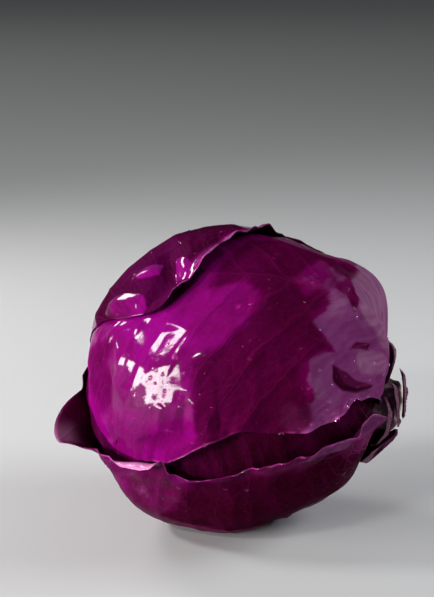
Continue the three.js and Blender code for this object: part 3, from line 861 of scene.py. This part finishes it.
def leaf_material(name, deep, bright, lean, seed, gloss=1.0):
    """A red cabbage leaf: pigment, veins, wax where it is left, a pale free edge, and a wet film as its coat,
    with painted shade, light painted on the wax, glints painted along the edge, a highlight painted on a
    curled lip and a darker inside face for shade.

    deep and bright are the two ends of its colour, and gloss is how much of the wet film it carries."""
    s = Shader(name)
    chart = s.attribute("chart", "Vector")
    along, across, from_rim = s.split(chart)
    stem = s.attribute("stem")
    near_stem = s.fade(stem, 15, 62)
    place = s.node("VectorMath", {"operation": "ADD"}, _0=chart, _1=(seed * 37.0, seed * 11.0, 0))
    foot, ribs, branches, net = leaf_veins(s, along, across, place, lean)
    streaks = s.noise(s.join(foot * 0.25, across * 0.05, seed), 1.0)
    # Painted shade, ragged at its edges. It also takes the wax off and leaves the leaf dry.
    dark = s.span(s.attribute("dark") + (s.noise(place, 0.07, 4, 0.6, 0.5) - 0.5) * 0.7, 0.15, 0.85)

    colour = leaf_pigment(s, place, streaks, dark, deep, bright)
    vein_colour = s.mix(near_stem, tuple(1.25 * c + 0.006 for c in bright), (0.36, 0.14, 0.30))
    veins = s.largest(ribs, branches * 0.6)
    colour = s.mix(veins * s.span(along, 0, 110, 0.40, 0.10), colour, vein_colour)
    colour = s.mix(net * 0.05, colour, vein_colour)
    colour = s.mix(s.span(stem, 85, 125, 0.45, 0.0), colour, (1.0, 0.8, 0.5), "MULTIPLY")
    bloom, wax_colour = leaf_wax(s, place, streaks, dark)
    colour = s.mix(bloom * 0.85, colour, wax_colour)
    edge, wet_lip_and_highlight = leaf_edge(s, place, from_rim, near_stem)
    # Partly painted glints: away from the stem the pale edge comes and goes along the rim as glints would.
    # Near the stem it is the paler waxy edge.
    edge_and_glint_colour = s.mix(near_stem, (0.36, 0.04, 0.24), (0.38, 0.18, 0.29))
    colour = s.mix(edge * s.span(near_stem, 0, 1, 0.6, 0.85), colour, edge_and_glint_colour)
    # Painted shade: the inside face is darker, as where a leaf curls out over it.
    colour = s.mix(s.attribute("inside") * 0.8, colour, tuple(0.5 * c for c in deep))
    # Painted highlight: the curled lip goes pale pink, and its coat is wet.
    colour = s.mix(wet_lip_and_highlight, colour, (0.50, 0.16, 0.36))

    dry = s.largest(bloom, dark, s.attribute("dry"))
    wet = s.span(s.noise(place, 0.035, 4, 0.6, 0.5), 0.36, 0.56) * (1.0 - bloom * 0.9)
    height = ribs * 0.12 + branches * 0.035 + net * 0.014
    height = height + s.noise(place, 0.14) * 0.4 + s.noise(place, 1.1, 3, 0.6) * 0.02
    ripple = s.noise(place, 0.10, 2) * 0.10 + s.noise(place, 0.45) * 0.022
    return s.finish(
        Base_Color=colour,
        Roughness=s.span(bloom, 0.0, 1.0, 0.60, 0.75) - wet * 0.10,
        Normal=s.bumped(height),
        **DULL,
        Coat_Weight=s.largest(edge, wet_lip_and_highlight, s.span(dry, 0, 0.6, gloss, 0)),
        Coat_Roughness=0.07,
        Coat_IOR=1.25,
        Coat_Normal=s.bumped(ripple),
        Subsurface_Weight=0.08,
        Subsurface_Radius=(0.0022, 0.0004, 0.0012),
        Subsurface_Scale=1.0,
    )


def stem_material():
    """The cut stem: pale and fibrous, with a paler pith, a darker ring, dried spots and a dark rind."""
    s = Shader("cut_stem")
    chart = s.attribute("chart", "Vector")
    x, y, _ = s.split(chart)
    radius = s.math("SQRT", x * x + y * y)
    fibres = s.noise(s.join(s.math("ARCTAN2", y, x) * 5.0, radius * 0.25, 0.0), 2.0, 5, 0.65)
    blotches = s.noise(chart, 0.16, 5, 0.6, 0.6)
    wobble = radius + (blotches - 0.5) * 3.0
    colour = s.mix(s.span(fibres, 0.3, 0.7), (0.60, 0.44, 0.38), (0.78, 0.66, 0.56))
    pith = s.fade(wobble, 4.5, 7.5)
    colour = s.mix(pith * 0.45, colour, (0.86, 0.78, 0.66))
    ring = s.span(wobble, 9.0, 10.4) * s.fade(wobble, 10.8, 12.2)
    colour = s.mix(ring * 0.6, colour, (0.46, 0.24, 0.30))
    rind = s.span(wobble, 12.8, 14.4)
    colour = s.mix(rind * 0.95, colour, (0.09, 0.02, 0.06))
    dried = s.span(s.noise(chart, 0.42, 5, 0.7), 0.52, 0.72)
    return s.finish(
        Base_Color=s.mix(dried * 0.45, colour, (0.24, 0.13, 0.08)),
        Roughness=s.span(blotches, 0.3, 0.7, 0.5, 0.75),
        Normal=s.bumped(fibres * 0.5 + s.noise(chart, 1.4, 4, 0.7) * 0.25, 0.8),
        Subsurface_Weight=0.1,
        Subsurface_Radius=(0.002, 0.0012, 0.0009),
    )


def base_material():
    """Stumps of trimmed leaves: dark wine skin outside, and a pale moist cut edge."""
    s = Shader("cut_leaf_base")
    chart = s.attribute("chart", "Vector")
    around, out, under = s.split(chart)
    cut = s.attribute("cut")
    fibres = s.noise(s.join(around * 0.55, out * 0.08, 0.0), 1.0, 4, 0.6)
    blotches = s.noise(chart, 0.12, 4, 0.6, 0.5)
    grain = s.noise(chart, 1.2, 4, 0.7)
    colour = s.mix(s.span(blotches, 0.3, 0.7), (0.024, 0.002, 0.014), (0.070, 0.006, 0.044))
    colour = s.mix(s.span(fibres, 0.45, 0.7) * 0.35, colour, (0.20, 0.07, 0.14))
    wax = s.span(blotches + grain * 0.3, 0.62, 0.85)
    colour = s.mix(wax * 0.35, colour, (0.15, 0.05, 0.11))
    colour = s.mix(s.attribute("inside"), colour, (0.05, 0.012, 0.035))
    bundles = s.fade(s.cells(s.join(around, under, 0.0), 0.42, "F1"), 0.08, 0.30)
    flesh = s.mix(s.span(grain, 0.3, 0.7), (0.19, 0.07, 0.13), (0.30, 0.16, 0.22))
    flesh = s.mix(bundles * 0.35, flesh, (0.55, 0.46, 0.42))
    flesh = s.mix(s.span(under, 0.0, 0.5, 0.6, 0.0), flesh, (0.16, 0.03, 0.10))
    return s.finish(
        Base_Color=s.mix(cut, colour, flesh),
        Roughness=s.span(cut, 0, 1, 0.75, 0.5),
        Normal=s.bumped(fibres * 0.5 + grain * 0.12),
        **DULL,
        Subsurface_Weight=0.08,
        Subsurface_Radius=(0.002, 0.0006, 0.0012),
    )


def water_material():
    s = Shader("water_drops")
    place = s.node("TexCoord", output="Object")
    return s.finish(
        Base_Color=(0.98, 0.97, 0.99),
        Roughness=s.span(s.noise(place, 300, 2), 0.3, 0.7, 0.0, 0.03),
        IOR=1.333,
        Transmission_Weight=1.0,
    )


# ---- Leaves ----

# Painted shade: the lower and inner leaves, and the deep end of the top leaf, are darker than the front leaf
# for the shade they lie in.
LOOKS = {
    "front": dict(deep=(0.085, 0.0006, 0.050), bright=(0.150, 0.0006, 0.098), seed=1),
    "top": dict(deep=(0.038, 0.0006, 0.018), bright=(0.150, 0.0006, 0.095), seed=2),
    "lower": dict(deep=(0.042, 0.0006, 0.017), bright=(0.095, 0.0008, 0.050), seed=3, gloss=0.18),
    "inner": dict(deep=(0.026, 0.0005, 0.012), bright=(0.090, 0.0006, 0.044), seed=4, gloss=0.1),
}


def make_leaf(k):
    name = NAMES[k]
    material = leaf_material(f"{name}_leaf_skin", lean=LEAVES[k]["lean"], **LOOKS[name])
    slot = f"{name}_leaf"

    def surface(u, v):
        return leaf_surface(k, *on_disc(u, v))

    return sheet_piece(f"leaf_{name}", surface, material, slot, [slot])


# ---- The inner head ----

INNER_CELLS = 84
INNER_LEAF = {"centre": (100, 150), "lean": 48}
INNER_RIB, INNER_RIB_HALF_WIDTH = 0.9, 4
INNER_RELIEF = 0.8
# Painted shade over the whole inner head, which shows only in the shaded gaps between the leaves.
INNER_PAINTED_SHADE = 0.6
NO_RIM = 40  # stands for the distance to a rim, which the inner head doesn't have
set_directions(INNER_LEAF)


def cube_ball(cells):
    """Directions all round, from a grid on each face of a cube, and the quads between them."""
    steps = np.tan(np.linspace(-1, 1, cells + 1) * np.pi / 4)
    b, a = np.meshgrid(steps, steps, indexing="ij")
    grids, faces = [], []
    for axis in range(3):
        for sign in (1, -1):
            corners = np.empty((a.size, 3))
            corners[:, axis] = sign
            corners[:, (axis + 1) % 3] = a.ravel()
            corners[:, (axis + 2) % 3] = b.ravel()
            faces.append(grid_quads(cells, len(grids) * a.size, flip=sign < 0))
            grids.append(corners)
    corners, index = np.unique(np.round(np.concatenate(grids), 9), axis=0, return_inverse=True)
    return unit(corners), index.ravel()[np.concatenate(faces)].tolist()


def make_inner_head():
    """The whole inner head, with the side ribs of the leaf that lies outermost in it."""
    d, faces = cube_ball(INNER_CELLS)
    along, across = chart_mm(INNER_LEAF, *leaf_chart(INNER_LEAF, d))
    _, apart = side_rib(INNER_LEAF, along, across)
    ribs = INNER_RIB * ridge(apart / INNER_RIB_HALF_WIDTH)
    radius = inner_radius(d, -1) + ribs + INNER_RELIEF * relief(d, -1)
    facts = {
        "chart": np.stack([along, across, np.full(len(d), NO_RIM)], -1),
        "stem": degrees_between(d, STEM_AXIS),
        "dark": np.full(len(d), INNER_PAINTED_SHADE),
    }
    material = leaf_material("inner_head_skin", lean=INNER_LEAF["lean"], **LOOKS["inner"])
    return new_piece("head_inner", d * radius[:, None], faces, facts, material, "inner_leaf", ["inner_head"])


# ---- The stem and the stumps ----

STEM_SIDES, STEM_RINGS = 96, 44
RIND = 6  # how far in from the edge of the cut end its rounding starts
CUT_SUNK, PITH_SUNK = 0.45, 0.8
PITH_END = STEM_END - 1.2
# Radius and height, from the foot up to the cut end.
STEM_PROFILE = np.array([
    (0, STEM_FOOT), (STEM_RADIUS - 0.4, STEM_FOOT), (STEM_RADIUS - 0.3, STEM_END - RIND),
    (STEM_RADIUS - 1, STEM_END - 2), (STEM_RADIUS - 2.2, STEM_END - 0.6), (STEM_RADIUS - RIND, STEM_END),
    (0, STEM_END),
])


def stem_points():
    """The points ring by ring, about the stem axis. The cut end has sunk a little and shows knife marks."""
    steps = np.concatenate([[0], np.cumsum(np.linalg.norm(np.diff(STEM_PROFILE, axis=0), axis=1))])
    at = np.linspace(0, steps[-1], STEM_RINGS + 2)[1:-1]
    turn = np.arange(STEM_SIDES) * 360 / STEM_SIDES
    radius, height = (np.interp(at, steps, column)[:, None] + 0 * turn for column in STEM_PROFILE.T)
    flat = np.stack([radius * cos(turn), radius * sin(turn), height], -1)
    grain = waves(flat * (1, 1, 0.25), 5, 70) * 0.18 + waves(flat, 13, 71) * 0.25
    side = smoothstep(radius, STEM_RADIUS - RIND, STEM_RADIUS - 1)
    cut = (height > STEM_END - 3) * (1 - side)
    marks = 0.12 * sin(flat[..., 0] * 140 + 40 * waves(flat, 20, 72))
    radius = radius + side * (grain - 0.35)
    height = height + cut * (grain - CUT_SUNK + marks - PITH_SUNK * bump(radius / 4))
    return np.stack([radius * cos(turn), radius * sin(turn), height], -1).reshape(-1, 3)


def make_stem():
    """A turned stub with a cut end that shows its rings, and a chamfered rind."""
    points = stem_points()
    local = np.concatenate([points, [(0, 0, STEM_FOOT), (0, 0, PITH_END)]])
    index = np.arange(len(points)).reshape(STEM_RINGS, STEM_SIDES)
    after = np.roll(index, -1, axis=1)
    faces = np.stack([index[1:], after[1:], after[:-1], index[:-1]], -1).reshape(-1, 4).tolist()
    faces += [(a, b, len(points)) for a, b in zip(index[0].tolist(), after[0].tolist())]
    faces += [(b, a, len(points) + 1) for a, b in zip(index[-1].tolist(), after[-1].tolist())]
    world = local @ np.stack([FRONT, TOP, STEM_AXIS])
    return new_piece("stem_end", world, faces, {"chart": local}, stem_material(), "cut_stem", ["stem_stub"])


BASE_COLUMNS = 150
BASE_CORNER = (0.04, 0.16)  # share of the way out, and of the thickness, that a rounded corner takes


def through(values, place):
    """The smooth curve through three evenly spaced values, at a place from -1 to 1."""
    first, middle, last = values
    return middle + (last - first) / 2 * place + ((first + last) / 2 - middle) * place**2


def base_section():
    """A stump's cross section: shares of the way out from the stem, and of the depth under the outer face.

    It runs out along the outer face, round the cut edge and its two rounded corners, and back inside."""
    long, deep = BASE_CORNER
    out = np.linspace(0, 1, 12)[:-1] * (1 - long)
    turn = np.linspace(0, 90, 5)
    outer_corner = 1 - long + long * sin(turn), deep * (1 - cos(turn))
    wall = np.ones(5), np.linspace(deep, 1 - deep, 7)[1:-1]
    inner_corner = 1 - long + long * cos(turn), 1 - deep + deep * sin(turn)
    parts = (out, 0 * out), outer_corner, wall, inner_corner, (out[::-1], 0 * out + 1)
    return np.concatenate(parts, axis=1)


def make_leaf_bases():
    """Cone-like collars from the side of the stem, with pale cut edges and fibres that run out to them."""
    material = base_material()
    section = base_section()
    place = np.repeat(np.linspace(1, -1, BASE_COLUMNS + 1), section.shape[1])
    way, deep = np.tile(section, BASE_COLUMNS + 1)
    index = np.arange(place.size).reshape(BASE_COLUMNS + 1, -1)
    after = np.roll(index, -1, axis=1)
    walls = np.stack([index[:-1], index[1:], after[1:], after[:-1]], -1).reshape(-1, 4).tolist()
    caps = [index[0].tolist(), index[-1][::-1].tolist()]
    for number, (cut, foot, thick) in enumerate(LEAF_BASES, 1):
        turn, reach, height = (through([row[i] for row in cut], place) for i in range(3))
        around = np.radians(turn) * STEM_RADIUS * 1.6
        line = np.stack([around, 0 * around, 0 * around], -1)
        ragged = BASE_RAGGED * np.sin(9 * place) + 0.3 * waves(line, 7, 90 + number)
        away = lerp(STEM_RADIUS + TOUCH, reach + ragged, way)
        along = np.minimum(lerp(through(foot, place), height, way), STEM_END)
        thickness = thick * lerp(1, BASE_ENDS, place**2)
        fibres = 0.14 * waves(line, 2.6, 80 + number) + 0.3 * waves(line + [[0, 9, 0]], 11, 85 + number)
        slack = smoothstep(way, 0, 0.5) * (1 - deep)
        along = along - deep * thickness + fibres * slack - 0.4 * bump((way - 1) / 0.16) * slack
        d = on_head(np.degrees(np.arctan2(away, along)), turn)
        clear = pile_radius(d, len(LEAVES)) + GAP
        points = d * np.maximum(np.hypot(away, along), clear)[:, None]
        facts = {
            "chart": np.stack([around, away, deep * thickness], -1),
            "cut": smoothstep(way, 0.955, 0.975) * smoothstep(deep, 0.005, 0.05),
            "inside": smoothstep(deep, 0.8, 1),
        }
        name = f"leaf_base_{number}"
        new_piece(name, points, walls + caps, facts, material, "cut_leaf_base", [f"cut_{name}"])


# ---- Water ----

DROP_COUNT = 1000
DROP_RADII = (0.36, 1.4)
DROP_TALL = (0.42, 0.62)  # height against radius
DROP_SQUEEZE = (0.8, 1.25)
FEW_LARGE = 6  # the higher, the fewer drops are large
DROPS_FROM_STEM, DROPS_FROM_FLOOR = 24, 20  # degrees, and mm
DROP_GROUPS = 34
DROP_SIDES, DROP_RINGS, DROP_SUNK = 12, 4, 0.12
DROP_CLUSTERS = [(127, 85, 9, 9), (144, 68, 9, 3), (66, 76, 12, 1)]  # polar, turn, spread, times more


def read(layer, field, count, width=1):
    """The numbers that a layer of a mesh holds, as rows of that width."""
    values = np.empty(count * width, np.float32)
    layer.foreach_get(field, values)
    return values.reshape(-1, width) if width > 1 else values


def wet_spots(leaves):
    """The points and normals where drops can stand: on bare outsides, away from the stem and the floor."""
    spots, normals = [], []
    for piece in leaves:
        mesh = piece.data
        count = len(mesh.vertices)
        points = read(mesh.vertices, "co", count, 3)
        labels = ("bare", "inside", "stem")
        bare_share, inside, stem = (read(mesh.attributes[label].data, "value", count) for label in labels)
        good = (bare_share > 0.95) & (inside < 0.5) & (stem > DROPS_FROM_STEM)
        good &= points[:, 2] > DROPS_FROM_FLOOR * MM
        spots.append(points[good] / MM)
        normals.append(read(mesh.vertices, "normal", count, 3)[good])
    return np.concatenate(spots), np.concatenate(normals)


def drop_points(foot, up, size, tall, squeeze, phase):
    """The tip of a drop, the rings down to its foot, and its foot's middle, sunk a little into the leaf."""
    side = unit(np.cross(up, (0.31, 0.22, 0.92)))
    fore = np.cross(up, side)
    points = [foot + up * tall]
    for ring in range(1, DROP_RINGS + 1):
        lean = 90 * ring / DROP_RINGS
        for step in range(DROP_SIDES):
            turn = 360 * step / DROP_SIDES
            flat = size * sin(lean) * (1 + 0.05 * sin(2 * turn + phase))
            offset = side * flat * cos(turn) * squeeze + fore * flat * sin(turn) / squeeze
            points.append(foot + offset + up * (tall * cos(lean) - DROP_SUNK))
    return points + [foot - up * DROP_SUNK]


def drop_faces(start):
    """The faces of a drop whose first point has that number."""
    foot = start + 1 + DROP_RINGS * DROP_SIDES
    faces = []
    for step in range(DROP_SIDES):
        after = (step + 1) % DROP_SIDES
        faces.append((start, start + 1 + step, start + 1 + after))
        for a in range(start + 1, foot - DROP_SIDES, DROP_SIDES):
            faces.append((a + step, a + DROP_SIDES + step, a + DROP_SIDES + after, a + after))
        faces.append((foot - DROP_SIDES + step, foot, foot - DROP_SIDES + after))
    return faces


def make_drops(leaves):
    """Small beads and a few larger drops on the bare wet leaves."""
    rng = np.random.default_rng(5)
    spots, normals = wet_spots(leaves)
    gathered = 0.5 + 0.5 * np.tanh(waves(spots, DROP_GROUPS, 6) * 1.4)
    d = unit(spots - HEAD_CENTRE)
    for polar, turn, spread, more in DROP_CLUSTERS:
        gathered += more * spot(d, polar, turn, spread)
    points, faces = [], []
    for pick in rng.choice(len(spots), DROP_COUNT, replace=False, p=gathered / gathered.sum()):
        size = lerp(*DROP_RADII, rng.random() ** FEW_LARGE)
        tall = size * rng.uniform(*DROP_TALL)
        squeeze = rng.uniform(*DROP_SQUEEZE)
        faces += drop_faces(len(points))
        points += drop_points(spots[pick] - HEAD_CENTRE, normals[pick], size, tall, squeeze, pick)
    drops = new_piece("water_drops", np.array(points), faces, {}, water_material(), "front_leaf", [])
    drops.visible_shadow = False


# ---- Surroundings ----

CAMERA_DISTANCE = 761
CAMERA_RISE = 16
LENS, SENSOR = 85, 36
PHOTO = (434, 597)
HEAD_IN_PHOTO = (241, 378)
FLOOR_REACH = 30  # metres


def area_light(name, direction, distance, size, power, colour=(1, 1, 1)):
    centre = Vector(HEAD_CENTRE * MM)
    light = bpy.data.lights.new(name, "AREA")
    light.shape = "RECTANGLE"
    light.size, light.size_y = size
    light.energy = power
    light.color = colour
    lamp = new_object(name, light)
    away = Vector(direction).normalized()
    lamp.location = centre + away * distance
    lamp.rotation_euler = away.to_track_quat("Z", "Y").to_euler()


def make_floor():
    mesh = bpy.data.meshes.new("floor")
    corners = [(x * FLOOR_REACH, y * FLOOR_REACH, 0) for x, y in ((-1, -1), (1, -1), (1, 1), (-1, 1))]
    mesh.from_pydata(corners, [], [(0, 1, 2, 3)])
    s = Shader("floor")
    mesh.materials.append(s.finish(Base_Color=(0.52, 0.53, 0.53), Roughness=0.7))
    floor = new_object("floor", mesh)


def make_camera():
    """Aimed so that the head's centre falls where the photo has it, with no shift."""
    pixels = LENS / SENSOR * PHOTO[1]
    yaw = np.arctan2(HEAD_IN_PHOTO[0] - PHOTO[0] / 2, pixels)
    pitch = np.radians(CAMERA_RISE) - np.arctan2(HEAD_IN_PHOTO[1] - PHOTO[1] / 2, pixels)
    forward = Vector((-np.sin(yaw) * np.cos(pitch), np.cos(yaw) * np.cos(pitch), -np.sin(pitch)))
    camera = bpy.data.cameras.new("camera")
    camera.lens = LENS
    camera.sensor_fit = "AUTO"
    camera.sensor_width = SENSOR
    view = new_object("camera", camera)
    away = np.array([0, -cos(CAMERA_RISE), sin(CAMERA_RISE)]) * CAMERA_DISTANCE
    view.location = (HEAD_CENTRE + away) * MM
    view.rotation_euler = forward.to_track_quat("-Z", "Y").to_euler()
    bpy.context.scene.camera = view


def light_scene():
    world = bpy.data.worlds.new("studio")
    world.use_nodes = True
    background = world.node_tree.nodes["Background"]
    background.inputs["Color"].default_value = (0.80, 0.84, 0.86, 1)
    background.inputs["Strength"].default_value = 0.10
    bpy.context.scene.world = world
    area_light("window", (-0.92, -0.39, 0.11), 9.0, (7.2, 1.45), 1800, (1, 0.97, 0.95))
    area_light("fill", (1.0, 0.05, 0.60), 1.5, (0.9, 0.7), 17, (0.95, 0.96, 1))
    area_light("key", (-0.42, -0.76, 0.48), 2.0, (0.34, 0.06), 11, (1, 0.97, 0.96))
    area_light("high", (-0.77, -0.24, 0.60), 1.0, (0.24, 0.10), 4.5, (1, 0.98, 0.97))
    area_light("back", (-0.58, 0.60, 0.52), 1.0, (0.30, 0.22), 4, (1, 0.96, 0.98))
    bpy.context.scene.view_settings.view_transform = "Standard"


make_camera()
make_inner_head()
leaves = [make_leaf(k) for k in range(len(LEAVES))]
make_stem()
make_leaf_bases()
make_drops(leaves)
make_floor()
light_scene()
